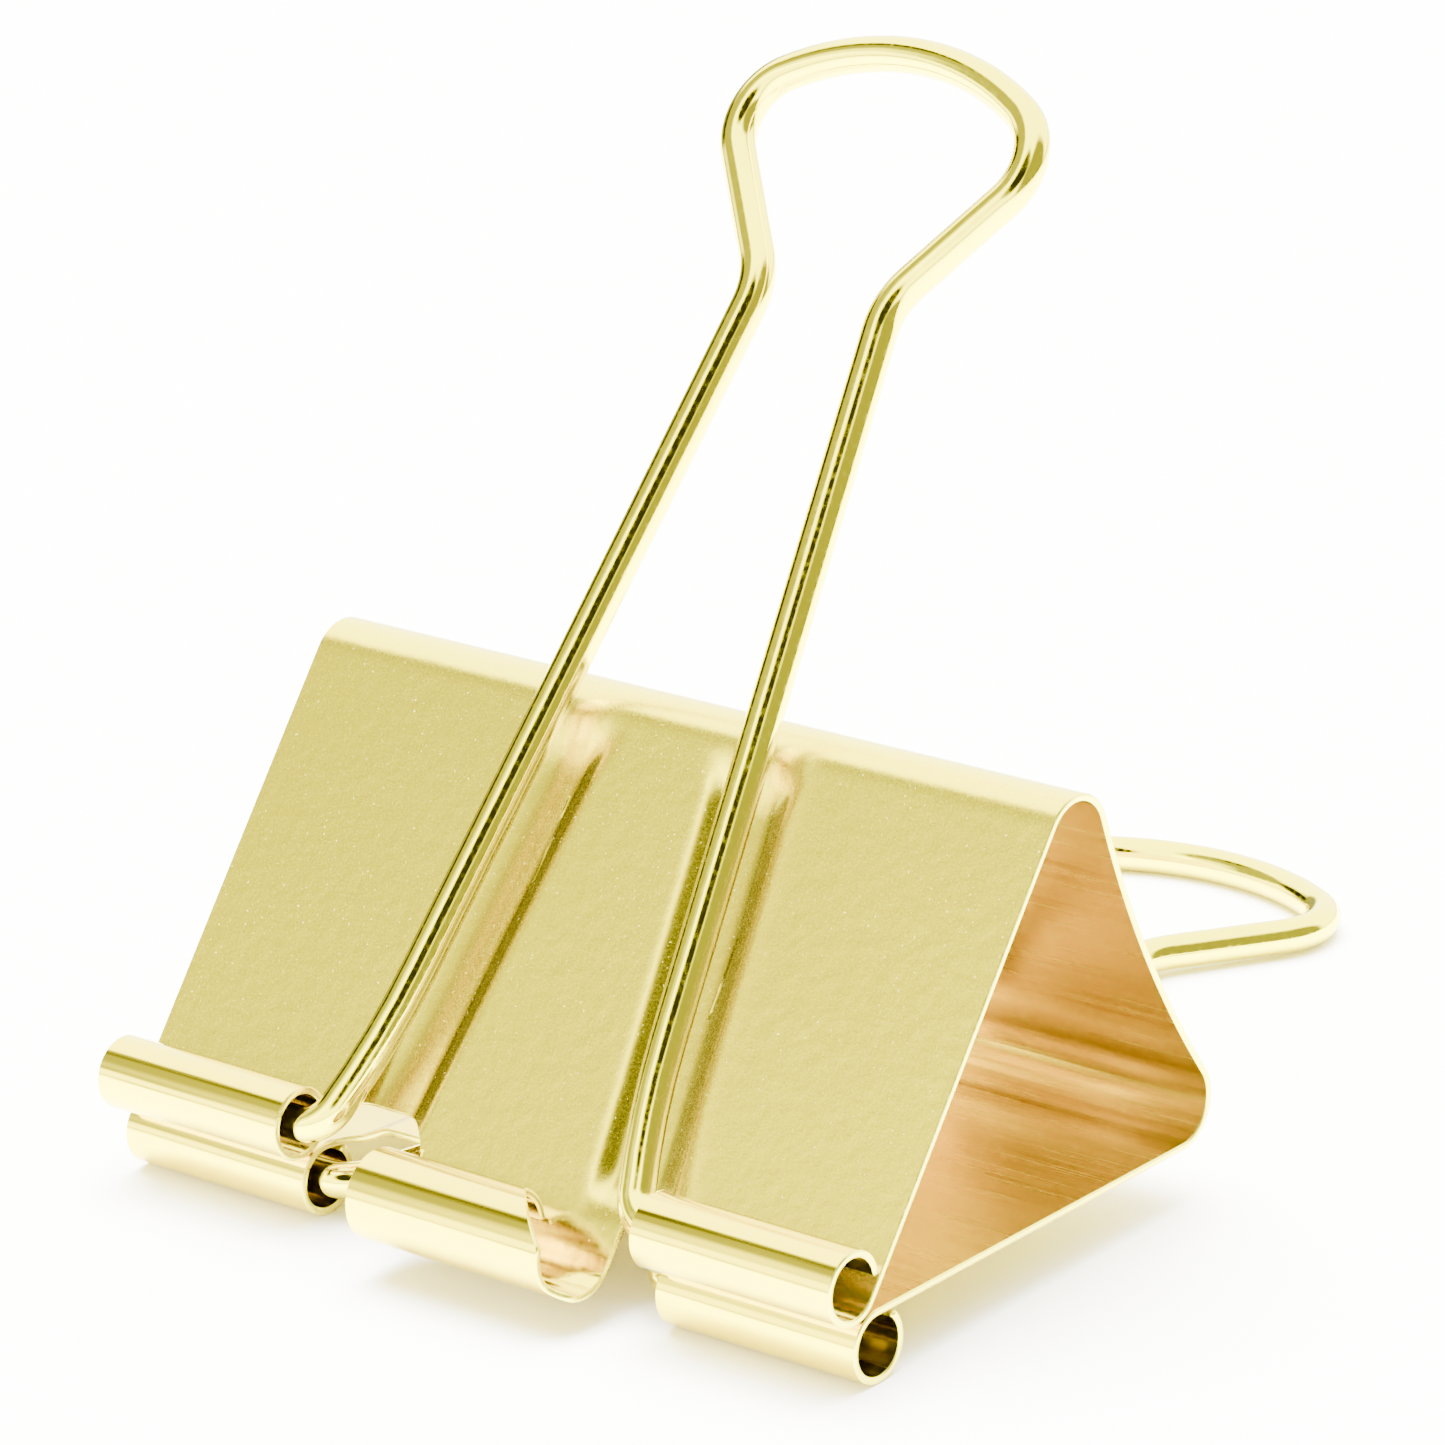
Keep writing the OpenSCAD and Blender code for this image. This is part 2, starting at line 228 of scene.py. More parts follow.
def measures():
    """Works out the places that follow from the chosen sizes, the same way as the part's own source does."""
    scene = bpy.context.scene
    m = SimpleNamespace(**in_mm(getattr(scene, SHEET)), **in_mm(getattr(scene, WIRE)))
    sin, cos, tan = math.sin, math.cos, math.tan
    m.wire_r = m.wire_d / 2
    m.half = m.jaw_angle / 2
    m.hinge_y = (m.roll_r * (1 - cos(m.half)) + m.lip_gap / 2) / sin(m.half)
    m.mid_roll_y = m.hinge_y - m.mid_roll_drop

    # the fold is tangent to the jaw and to the bowed spine
    m.bow_y = m.body_d + m.spine_bow_r
    reach = cos(m.half) * m.bow_y
    rest = (
        (m.bow_y - m.fold_r * sin(m.half)) ** 2
        + (m.fold_r * cos(m.half)) ** 2
        - (m.spine_bow_r + m.fold_r) ** 2
    )
    m.fold_y = reach - math.sqrt(reach * reach - rest)
    mid_z = m.fold_y * sin(m.half) - m.fold_r * cos(m.half)
    m.bow_angle = math.asin(mid_z / (m.spine_bow_r + m.fold_r))

    # the handle's middle line
    m.loop_arc_r = m.loop_corner_r + (m.loop_hw - m.loop_corner_r) / sin(m.loop_arc)
    corner_turn = math.pi / 2 + m.loop_side_angle - m.loop_arc
    side_end_x = m.neck_hw + m.neck_r * (1 - cos(m.loop_side_angle))
    side_start_x = m.loop_hw - m.loop_corner_r * (1 - cos(m.loop_side_angle))
    side_l = (side_start_x - side_end_x) / sin(m.loop_side_angle)
    m.loop_top = m.handle_l - m.wire_r
    leg_top_y = (
        m.loop_top
        - m.loop_arc_r * (1 - cos(m.loop_arc))
        - m.loop_corner_r * (cos(m.loop_arc) + sin(m.loop_side_angle))
        - side_l * cos(m.loop_side_angle)
        - m.neck_r * (sin(m.loop_side_angle) + sin(m.leg_angle))
    )
    leg_top_x = m.neck_hw + m.neck_r * (1 - cos(m.leg_angle))
    slant = m.leg_angle + m.flare_angle
    foot_turn = math.pi / 2 - slant
    bend_drop = m.foot_bend_r * (1 - cos(foot_turn))
    bottom_y = m.flare_r * (sin(slant) - sin(m.leg_angle)) + bend_drop
    leg_l = (leg_top_y - bottom_y) / cos(m.leg_angle)
    bottom_x = leg_top_x + leg_l * sin(m.leg_angle)
    flare_end_x = bottom_x + m.flare_r * (cos(m.leg_angle) - cos(slant))
    foot_x = flare_end_x + m.foot_bend_r * sin(foot_turn)
    m.handle_path = [
        ("arc", m.loop_arc_r, m.loop_arc),
        ("arc", m.loop_corner_r, corner_turn),
        ("line", side_l, 0.0),
        ("arc", m.neck_r, -(m.loop_side_angle + m.leg_angle)),
        ("line", leg_l, 0.0),
        ("arc", m.flare_r, -m.flare_angle),
        ("arc", m.foot_bend_r, -foot_turn),
        ("line", m.foot_l, 0.0),
    ]

    # roll ends and channels
    m.side_roll_x = foot_x - 0.2
    leg_side_x = flare_end_x - m.wire_r / cos(slant) - m.leg_gap
    m.mid_to = leg_side_x
    m.mid_from = m.mid_to - m.mid_roll_w
    m.mid_cut_x = leg_side_x - (m.mid_roll_drop + m.mid_roll_r - bend_drop) * tan(slant)
    m.channel_x = bottom_x - m.channel_in + bottom_y * tan(m.leg_angle)

    # how the clip lies on the table
    m.rest_tilt = math.asin((m.roll_r - m.wire_r) / m.loop_top)
    m.mid_tilt = m.half - m.rest_tilt
    upper_tilt = m.mid_tilt + m.half
    front_y = m.mid_roll_y * cos(upper_tilt) - m.mid_roll_r * sin(upper_tilt) - m.mid_roll_r
    hinge_row_y = m.hinge_y * cos(m.rest_tilt) - m.roll_r * sin(m.rest_tilt)
    back_y = hinge_row_y + m.loop_top * cos(m.rest_tilt) + m.wire_r
    m.meet_y = -(front_y + back_y) / 2
    m.meet_z = m.roll_r + m.roll_r * cos(m.rest_tilt) + m.hinge_y * sin(m.rest_tilt)
    return m


def to_row(m, points, side):
    """Turns jaw-frame points (millimetres) into the row frame (metres): side is 1 for the upper jaw
    and -1 for the lower.
    """
    tilt = m.mid_tilt + side * m.half
    x, y, z = points[..., 0], points[..., 1], points[..., 2] * side
    row_y = m.meet_y + y * math.cos(tilt) - z * math.sin(tilt)
    row_z = m.meet_z + y * math.sin(tilt) + z * math.cos(tilt)
    return np.stack([x, row_y, row_z], -1) * MM


def smooth_step(t):
    """0 below 0, 1 above 1 and 3t^2 - 2t^3 between them."""
    t = np.clip(t, 0.0, 1.0)
    return t * t * (3 - 2 * t)


# ---------------------------------------------------------------------------
# Meshes
# ---------------------------------------------------------------------------


def quads_of(index):
    """The quads of a grid of vertex numbers, wound so that columns run first and rows second."""
    return np.stack([index[:-1, :-1], index[:-1, 1:], index[1:, 1:], index[1:, :-1]], -1).reshape(-1, 4)


def make_mesh(name, points, faces, slots, materials, sharp=None, uv=None):
    """A new object from points (metres), faces, a material number for each face, vertex pairs to keep
    sharp and one UV for each point.
    """
    mesh = bpy.data.meshes.new(name)
    mesh.from_pydata(points.tolist(), [], [list(f) for f in faces])
    mesh.polygons.foreach_set("material_index", np.asarray(slots, np.int32))
    mesh.polygons.foreach_set("use_smooth", np.ones(len(mesh.polygons), bool))
    if sharp is not None and len(sharp):
        pairs = np.zeros(len(mesh.edges) * 2, np.int32)
        mesh.edges.foreach_get("vertices", pairs)
        n = len(points)
        have = np.sort(pairs.reshape(-1, 2), 1) @ np.array([n, 1])
        want = np.sort(np.asarray(sharp), 1) @ np.array([n, 1])
        mesh.attributes.new("sharp_edge", "BOOLEAN", "EDGE").data.foreach_set("value", np.isin(have, want))
    if uv is not None:
        corner = np.zeros(len(mesh.loops), np.int32)
        mesh.loops.foreach_get("vertex_index", corner)
        layer = mesh.uv_layers.new(name="developed")
        layer.data.foreach_set("uv", uv[corner].astype(np.float32).ravel())
    for material in materials:
        mesh.materials.append(material)
    mesh.update()
    mesh.validate()
    piece = bpy.data.objects.new(name, mesh)
    bpy.context.scene.collection.objects.link(piece)
    return piece


def weld(grids):
    """Joins grids of (x, y, z, u, v) into one set of points, where points closer than a tenth of a
    micrometre become one, and the quads between them.
    """
    flat = np.concatenate([g.reshape(-1, 5) for g in grids])
    _, first, inverse = np.unique(
        np.round(flat[:, :3] * 1e4).astype(np.int64), axis=0, return_index=True, return_inverse=True
    )
    inverse = inverse.ravel()
    starts = np.cumsum([0] + [g.shape[0] * g.shape[1] for g in grids])
    quads = [
        quads_of(inverse[s : s + g.shape[0] * g.shape[1]].reshape(g.shape[:2]))
        for s, g in zip(starts, grids)
    ]
    return flat[first], np.concatenate(quads)


def unit(v):
    """Vectors divided by their own lengths; a zero stays zero."""
    size = np.linalg.norm(v, axis=-1, keepdims=True)
    return np.divide(v, size, out=np.zeros_like(v), where=size > 1e-12)


def thicken(points, quads, seam, t, e):
    """Gives a middle surface its thickness t, half to each side along its normals, and cuts each free
    edge back by e, so that its rim is a flat with a chamfer on both sides. Edges whose two points are
    in `seam` are closed square, with no chamfer. Returns points, faces, slots (0 outside, 1 inside,
    2 rim), sharp edges and the source point of each new one.
    """
    n = len(points)
    a, b, c, d = (points[quads[:, k]] for k in range(4))
    face_normal = np.cross(c - a, d - b)
    normal = np.zeros_like(points)
    for k in range(4):
        np.add.at(normal, quads[:, k], face_normal)
    normal = unit(normal)

    start = quads.ravel()
    end = quads[:, [1, 2, 3, 0]].ravel()
    free = ~np.isin(start * n + end, end * n + start)
    start, end = start[free], end[free]
    on_seam = seam[start] & seam[end]
    along = unit(points[end] - points[start])
    outward = np.cross(along, unit(normal[start] + normal[end])) * ~on_seam[:, None]
    out = np.zeros_like(points)
    np.add.at(out, start, outward)
    np.add.at(out, end, outward)
    out = unit(out)

    top = points + normal * (t / 2) - out * e
    low = points - normal * (t / 2) - out * e
    rim_top = points + normal * (t / 2 - e)
    rim_low = points - normal * (t / 2 - e)
    s, f = start[~on_seam], end[~on_seam]
    faces = [
        quads,
        quads[:, ::-1] + n,
        np.stack([f, s, s + 2 * n, f + 2 * n], -1),
        np.stack([f + 2 * n, s + 2 * n, s + 3 * n, f + 3 * n], -1),
        np.stack([f + 3 * n, s + 3 * n, s + n, f + n], -1),
    ]
    ss, sf = start[on_seam], end[on_seam]
    faces.append(np.stack([sf, ss, ss + n, sf + n], -1))
    leaving, arriving = s[seam[s]], f[seam[f]]
    faces.append(np.stack([leaving + n, leaving + 3 * n, leaving + 2 * n, leaving], -1))
    faces.append(np.stack([arriving, arriving + 2 * n, arriving + 3 * n, arriving + n], -1))
    slots = np.concatenate(
        [np.full(len(x), min(k, 2), np.int32) for k, x in enumerate(faces)]
    )
    faces = np.concatenate(faces)
    everything = np.concatenate([top, low, rim_top, rim_low])
    source = np.tile(np.arange(n), 4)
    sharp = [np.stack([s, f], -1), np.stack([s, f], -1) + n, np.stack([ss, sf], -1), np.stack([ss, sf], -1) + n]
    for corner in (leaving, arriving):
        for p, q in ((0, 2), (2, 3), (3, 1), (0, 1)):
            sharp.append(np.stack([corner + p * n, corner + q * n], -1))

    used = np.unique(faces)
    place = np.full(len(everything), -1)
    place[used] = np.arange(len(used))
    sharp = place[np.concatenate(sharp)]
    return everything[used], place[faces], slots, sharp, source[used]


# ---------------------------------------------------------------------------
# The folded sheet
# ---------------------------------------------------------------------------


def spread(low, high, count):
    """Even steps from low to high."""
    return np.linspace(low, high, count)


def bunched(low, high, count):
    """Steps from low to high that are short at both ends: the middle less half the span times a cosine."""
    return (low + high) / 2 - (high - low) / 2 * np.cos(np.linspace(0, math.pi, count))


def notch_edge(m, x, low, high):
    """How far the notch between low and high reaches past the hinge line at x: its full depth, with a
    quarter ellipse at each end.
    """
    corner = min(0.45 * (high - low), m.notch_d)
    q = np.clip(np.minimum(x - low, high - x) / corner, 0.0, 1.0)
    return m.notch_d * np.sqrt(1 - (1 - q) ** 2)


def channel_dip(m, x, y):
    """Depth of the pressed channels at (x, y): a cosine hollow across a line that slants like a leg.
    It starts behind the notches and fades, a little wider, into the fold.
    """
    to_fold = smooth_step((y - (m.fold_y - 3.2)) / 3.2)
    centre = m.channel_x - y * math.tan(m.leg_angle)
    half = m.channel_w / 2 * (1 + 0.30 * to_fold)
    away = np.clip(np.abs(np.abs(x) - centre) / half, 0.0, 1.0)
    hollow = 0.5 + 0.5 * np.cos(math.pi * np.clip((away - CHANNEL_FLOOR) / (1 - CHANNEL_FLOOR), 0.0, 1.0))
    start = smooth_step((y - m.hinge_y) / m.notch_d)
    return m.channel_d * CHANNEL_SWELL * hollow * start * (1 - to_fold)


def rolled_tab(m, columns, radius, centre_y, left, right, rows):
    """A tab rolled away from the other jaw: a circle of `radius`, less half the sheet, from its free
    edge round to the bottom, where it meets the sheet.
    left and right give the tab's two sides in X for each angle."""
    middle = radius - m.sheet_t / 2
    seam = math.asin((m.sheet_t + m.seam_gap) / radius - 1)
    turn = np.linspace(seam, 1.5 * math.pi, rows)
    share = (columns - columns[0]) / (columns[-1] - columns[0])
    x = left(turn)[:, None] + share[None, :] * (right(turn) - left(turn))[:, None]
    y = np.broadcast_to((centre_y + middle * np.cos(turn))[:, None], x.shape)
    z = np.broadcast_to((radius + middle * np.sin(turn))[:, None], x.shape)
    v = np.broadcast_to((centre_y - m.hinge_y - (1.5 * math.pi - turn) * middle)[:, None], x.shape)
    return np.stack([x, y, z, x, v], -1)


def sheet_grids(m, upper):
    """The half of the sheet on one side, as grids of (x, y, z, u, v) on its middle surface, from the
    rolls to the middle of the spine.
    """
    half_w, side_x, t = m.body_w / 2, m.side_roll_x, m.sheet_t
    left_cols, right_cols = spread(-half_w, -side_x, 58), spread(side_x, half_w, 58)
    if upper:
        mid_cols = spread(m.mid_from, m.mid_to, 64)
        parts = [left_cols, bunched(-side_x, m.mid_from, 38), mid_cols, bunched(m.mid_to, side_x, 26), right_cols]
        notches = [(-side_x, m.mid_from), (m.mid_to, side_x)]
    else:
        cut = m.notch_d
        parts = [
            left_cols,
            bunched(-side_x, -side_x + 2 * cut, 21)[:11],
            spread(-side_x + cut, side_x - cut, 96),
            bunched(side_x - 2 * cut, side_x, 21)[10:],
            right_cols,
        ]
        notches = [(-side_x, side_x)]
    columns = np.concatenate([parts[0]] + [p[1:] for p in parts[1:]])

    # flat of the jaw, from the notched edge to the fold
    reach = np.zeros_like(columns)
    for low, high in notches:
        inside = (columns > low) & (columns < high)
        reach = np.where(inside, notch_edge(m, columns, low, high), reach)
    share = np.linspace(0, 1, 64)[:, None]
    y = m.hinge_y + reach * (1 - share) + (m.fold_y - m.hinge_y) * share
    x = np.broadcast_to(columns, y.shape)
    z = t / 2 - channel_dip(m, x, y)
    flat = np.stack([x, y, z, x, y - m.hinge_y], -1)

    # fold, a circle about a point inside the clip
    turn = np.linspace(math.pi / 2, -(m.bow_angle + m.half), 24)[:, None]
    middle = m.fold_r + t / 2
    y = np.broadcast_to(m.fold_y + middle * np.cos(turn), (len(turn), len(columns)))
    z = np.broadcast_to(-m.fold_r + middle * np.sin(turn), y.shape)
    v = np.broadcast_to(m.fold_y - m.hinge_y + (math.pi / 2 - turn) * middle, y.shape)
    fold = np.stack([np.broadcast_to(columns, y.shape), y, z, np.broadcast_to(columns, y.shape), v], -1)

    # half of the bowed spine, a large circle about a point behind the clip
    turn = np.linspace(math.pi - m.bow_angle, math.pi, 22)[:, None]
    middle_y = m.bow_y + (m.spine_bow_r - t / 2) * np.cos(turn)
    middle_z = (m.spine_bow_r - t / 2) * np.sin(turn)
    y = middle_y * math.cos(m.half) + middle_z * math.sin(m.half)
    z = -middle_y * math.sin(m.half) + middle_z * math.cos(m.half)
    v = v[-1, 0] + (turn - turn[0]) * (m.spine_bow_r - t / 2)
    full = (len(turn), len(columns))
    x = np.broadcast_to(columns, full)
    spine = np.stack([x, np.broadcast_to(y, full), np.broadcast_to(z, full), x, np.broadcast_to(v, full)], -1)
    spine[0, :, :3] = fold[-1, :, :3]

    # rolls
    def fixed(value):
        return lambda turn: np.full_like(turn, value)

    grids = [flat, fold, spine]
    grids.append(rolled_tab(m, left_cols, m.roll_r, m.hinge_y, fixed(-half_w), fixed(-side_x), 44))
    grids.append(rolled_tab(m, right_cols, m.roll_r, m.hinge_y, fixed(side_x), fixed(half_w), 44))
    if upper:
        tongue_y = np.linspace(m.mid_roll_y, m.hinge_y, 8)[:, None]
        full = (len(tongue_y), len(mid_cols))
        x, y = np.broadcast_to(mid_cols, full), np.broadcast_to(tongue_y, full)
        grids.append(np.stack([x, y, np.full(full, t / 2), x, y - m.hinge_y], -1))

        def cut_side(turn):
            """The sheared free corner: narrow along the free edge, slanting out over the roll's top to
            the leg's clearance, then out to full width under its front.
            """
            slant = np.clip((turn - CUT_START) / (CUT_END - CUT_START), 0.0, 1.0)
            x = m.mid_cut_x + (CUT_WIDTH - m.mid_cut_x) * (1 - slant)
            return x + (m.mid_to - m.mid_cut_x) * smooth_step((turn - CUT_FRONT) / CUT_BLEND)

        grids.append(rolled_tab(m, mid_cols, m.mid_roll_r, m.mid_roll_y, fixed(m.mid_from), cut_side, 72))
    return grids


def build_sheet(name, upper, materials):
    """Half of the body: its grids welded, thickened and turned into the row frame."""
    m = measures()
    side = 1 if upper else -1
    points, quads = weld(sheet_grids(m, upper))
    middle = math.cos(m.half) * points[:, 2] + math.sin(m.half) * points[:, 1]
    seam = np.abs(middle) < 1e-3
    solid, faces, slots, sharp, source = thicken(points[:, :3], quads, seam, m.sheet_t, m.edge_round)
    if not upper:
        faces = faces[:, ::-1]
    return make_mesh(name, to_row(m, solid, side), faces, slots, materials, sharp, points[source, 3:] * MM)


# ---------------------------------------------------------------------------
# The wire
# ---------------------------------------------------------------------------


def wire_line(m):
    """Middle line of a handle in its own plane, as (x, y, heading), from one foot over the loop to the
    other. An arc's point is its centre less the radius times the heading turned a quarter to the
    right.
    """
    x, y, heading = 0.0, m.hinge_y + m.loop_top, 0.0
    rows = [np.array([[x, y, heading]])]
    for kind, size, turn in m.handle_path:
        if kind == "line":
            steps = np.linspace(0, size, 12)[1:]
            part = np.stack(
                [x + steps * math.cos(heading), y + steps * math.sin(heading), np.full_like(steps, heading)], -1
            )
        else:
            count = max(5, int(abs(turn) / math.radians(3.0)) + 1)
            g = math.copysign(1.0, turn)
            cx, cy = x + g * size * math.sin(heading), y - g * size * math.cos(heading)
            h = heading - g * np.linspace(0, abs(turn), count)[1:]
            part = np.stack([cx - g * size * np.sin(h), cy + g * size * np.cos(h), h], -1)
        rows.append(part)
        x, y, heading = part[-1]
    right = np.concatenate(rows)
    left = right[:0:-1] * np.array([-1.0, 1.0, -1.0])
    return np.concatenate([left, right])


def build_wire(name, upper, materials):
    """A handle: a circle carried along the wire's middle line, with rounded ends."""
    m = measures()
    line = wire_line(m)
    step = np.hypot(*np.diff(line[:, :2], axis=0).T)
    run = np.concatenate([[0.0], np.cumsum(step)])

    # the two ends are rounded over: a little shorter and a little thinner in three steps
    back, thin = np.array([0.0, 0.04, 0.14, 0.30]), np.array([0.30, 0.14, 0.04, 0.0])
    heading = line[:, 2]
    ends = []
    for at, sign in ((0, 1.0), (-1, -1.0)):
        direction = np.array([math.cos(heading[at]), math.sin(heading[at])])
        ring = np.tile(line[at], (4, 1))
        ring[:, :2] += sign * back[:, None] * direction
        ends.append(ring if at == 0 else ring[::-1])
    line = np.concatenate([ends[0], line[1:-1], ends[1]])
    radius = np.concatenate([m.wire_r - thin, np.full(len(line) - 8, m.wire_r), (m.wire_r - thin)[::-1]])
    run = np.concatenate([run[0] + back, run[1:-1], (run[-1] - back)[::-1]])

    around = np.linspace(0, TAU, WIRE_SIDES, endpoint=False)[None, :]
    sideways, up = radius[:, None] * np.cos(around), radius[:, None] * np.sin(around)
    h = line[:, 2:3]
    points = np.stack(
        [line[:, 0:1] - np.sin(h) * sideways, line[:, 1:2] + np.cos(h) * sideways, m.roll_r + up], -1
    )
    rows = len(line)
    index = np.arange(rows * WIRE_SIDES).reshape(rows, WIRE_SIDES)
    index = np.concatenate([index, index[:, :1]], 1)
    faces = quads_of(index).tolist()
    faces.append(index[0, :-1][::-1].tolist())
    faces.append(index[-1, :-1].tolist())
    if not upper:
        faces = [f[::-1] for f in faces]
    full = (rows, WIRE_SIDES)
    uv = np.stack([np.broadcast_to(around * m.wire_r, full), np.broadcast_to(run[:, None], full)], -1)
    return make_mesh(
        name,
        to_row(m, points.reshape(-1, 3), 1 if upper else -1),
        faces,
        np.zeros(len(faces), np.int32),
        materials,
        uv=uv.reshape(-1, 2) * MM,
    )


# ---------------------------------------------------------------------------
# Materials
# ---------------------------------------------------------------------------


class Nodes:
    """Adds shader nodes to a material and links them."""

    def __init__(self, name):
        self.material = bpy.data.materials.new(name)
        self.material.use_nodes = True
        self.tree = self.material.node_tree
        self.shader = self.tree.nodes["Principled BSDF"]

    def add(self, kind, inputs=None, **values):
        node = self.tree.nodes.new(kind)
        for key, value in values.items():
            setattr(node, key, value)
        for key, value in (inputs or {}).items():
            if isinstance(value, bpy.types.NodeSocket):
                self.tree.links.new(value, node.inputs[key])
            else:
                node.inputs[key].default_value = value
        return node

    def pattern_space(self, scale):
        """The developed sheet or wire, as a UV map in metres, scaled by pattern cells per metre."""
        uv = self.add("ShaderNodeUVMap", uv_map="developed")
        return self.add("ShaderNodeMapping", {"Vector": uv.outputs[0], "Scale": scale}).outputs[0]

    def noise(self, scale, detail=2.0, roughness=0.5, seed=0.0):
        """A soft random pattern, from 0 to 1."""
        space = self.pattern_space((scale[0], scale[1], 1.0))
        node = self.add(
            "ShaderNodeTexNoise",
            {"Vector": space, "Scale": 1.0, "Detail": detail, "Roughness": roughness, "W": seed},
            noise_dimensions="4D",
        )
        return node.outputs["Fac"]

    def on_flat(self):
        """1 on the flat of the jaw, 0 on the rolls, which lie before the hinge line in the pattern space."""
        place = self.add("ShaderNodeSeparateXYZ", {"Vector": self.pattern_space((1.0, 1.0, 1.0))}).outputs["Y"]
        return self.ramp(place, -0.002, 0.0008, 0.0, 1.0)

    def painted_reflection_walls(self):
        """1 on the walls of the pressed channels, 0 elsewhere: a band each side of a line that slants
        like a leg, between the notches and the fold. It marks where the plate is darkened as a painted
        reflection.
        """
        m = measures()
        slope = math.tan(m.leg_angle)
        place = self.add("ShaderNodeSeparateXYZ", {"Vector": self.pattern_space((1.0, 1.0, 1.0))}).outputs
        start = (m.channel_x - m.hinge_y * slope) * MM
        slant = {0: place["Y"], 1: -slope, 2: start}
        centre = self.add("ShaderNodeMath", slant, operation="MULTIPLY_ADD").outputs[0]
        side = self.add("ShaderNodeMath", {0: place["X"]}, operation="ABSOLUTE").outputs[0]
        away = self.add("ShaderNodeMath", {0: side, 1: centre}, operation="SUBTRACT").outputs[0]
        away = self.add("ShaderNodeMath", {0: away}, operation="ABSOLUTE").outputs[0]
        half, flat = m.channel_w / 2 * MM, (m.fold_y - m.hinge_y) * MM
        wall = self.ramp(away, 0.38 * half, 0.55 * half, 0.0, 1.0)
        limits = (
            (away, 0.98 * half, 0.84 * half),
            (place["Y"], 1 * MM, 3 * MM),
            (place["Y"], flat - 1 * MM, flat - 3 * MM),
        )
        for value, low, high in limits:
            fade = self.ramp(value, low, high, 0.0, 1.0)
            wall = self.add("ShaderNodeMath", {0: wall, 1: fade}, operation="MULTIPLY").outputs[0]
        return wall

    def ramp(self, fac, low, high, out_low, out_high):
        """A value that goes from out_low to out_high while fac goes from low to high."""
        node = self.add(
            "ShaderNodeMapRange",
            {"Value": fac, "From Min": low, "From Max": high, "To Min": out_low, "To Max": out_high},
        )
        return node.outputs[0]

    def mix(self, fac, a, b):
        """A colour between a and b."""
        node = self.add("ShaderNodeMix", data_type="RGBA")
        for socket, value in ((node.inputs[0], fac), (node.inputs[6], a), (node.inputs[7], b)):
            if isinstance(value, bpy.types.NodeSocket):
                self.tree.links.new(value, socket)
            else:
                socket.default_value = value
        return node.outputs[2]

    def bump(self, height, strength, distance, under=None):
        """A normal bent by a height."""
        inputs = {"Height": height, "Strength": strength, "Distance": distance}
        if under is not None:
            inputs["Normal"] = under
        return self.add("ShaderNodeBump", inputs).outputs[0]

    def finish(self, colour, roughness, normal=None, metallic=1.0):
        """Sets the shader's own sockets."""
        for key, value in (("Base Color", colour), ("Roughness", roughness), ("Normal", normal)):
            if isinstance(value, bpy.types.NodeSocket):
                self.tree.links.new(value, self.shader.inputs[key])
            elif value is not None:
                self.shader.inputs[key].default_value = value
        self.shader.inputs["Metallic"].default_value = metallic
        return self.material


def rgba(value, gain=1.0):
    """A colour with its alpha, brightened by gain and kept under 1."""
    return tuple(min(1.0, c * gain) for c in value) + (1.0,)


def satin_gold(tint):
    """Gold plate over a finely grained sheet: soft cloudy tone, orange-peel waviness, fine grain and
    raised specks that sparkle, and a painted dark reflection on the channel walls. The rolls are burnished
    smoother by the rolling die.
    """
    n = Nodes("satin_gold")
    cloud = n.noise((90, 90), 3, 0.55, 1.0)
    base = n.mix(cloud, rgba(tint, 0.95), rgba(tint, 1.05))
    flat = n.on_flat()
    grain = n.noise((7000, 7000), 2, 0.6, 2.0)
    peel = n.noise((900, 900), 2, 0.5, 3.0)
    speck = n.ramp(n.noise((5200, 5200), 1, 0.5, 4.0), 0.70, 0.78, 0.0, 1.0)
    # Painted reflection: the plate is darkened on the channel walls to stand for their dark reflection
    base = n.mix(n.painted_reflection_walls(), base, rgba(tint, PAINTED_REFLECTION_TONE))
    base = n.mix(speck, base, rgba((1.0, 0.95, 0.45)))
    rough = n.ramp(grain, 0.3, 0.7, 0.21, 0.30)
    burnished = n.ramp(grain, 0.3, 0.7, 0.10, 0.15)
    rough = n.add("ShaderNodeMix", {0: flat, 2: burnished, 3: rough}).outputs[0]
    normal = n.bump(peel, 0.10, 0.0002)
    normal = n.bump(grain, n.ramp(flat, 0.0, 1.0, 0.04, 0.16), 0.00003, normal)
    normal = n.bump(speck, n.ramp(flat, 0.0, 1.0, 0.1, 0.9), 0.00004, normal)
    return n.finish(base, rough, normal)


def brushed_gold_painted_shade(tint, rolled_tint):
    """Gold plate over rolled sheet: long streaks that run along the lips, in tone, gloss and height, over a
    darker, more orange tint that is painted shade inside the hollow body. The sheet's inner side is also the
    outside of the rolls, where it is burnished and keeps the plate colour, without the painted shade.
    """
    n = Nodes("brushed_gold_painted_shade")
    flat = n.on_flat()
    broad = n.noise((25, 420), 3, 0.6, 1.0)
    fine = n.noise((60, 3800), 2, 0.6, 2.0)
    # Painted shade: the darker inside tint on the flat stands for the shade inside the body; the streaks are the
    # brushed plate
    streak = n.mix(n.ramp(broad, 0.35, 0.65, 0.0, 1.0), rgba(tint, 0.78), rgba(tint, 1.14))
    base = n.mix(n.ramp(fine, 0.35, 0.65, 0.0, 1.0), streak, rgba(tint, 1.0))
    base = n.mix(flat, rgba(rolled_tint), base)
    streaked = n.ramp(fine, 0.3, 0.7, 0.16, 0.30)
    burnished = n.ramp(fine, 0.3, 0.7, 0.08, 0.15)
    rough = n.add("ShaderNodeMix", {0: flat, 2: burnished, 3: streaked}).outputs[0]
    normal = n.bump(broad, n.ramp(flat, 0.0, 1.0, 0.06, 0.22), 0.0003)
    normal = n.bump(fine, n.ramp(flat, 0.0, 1.0, 0.10, 0.30), 0.00005, normal)
    return n.finish(base, rough, normal)


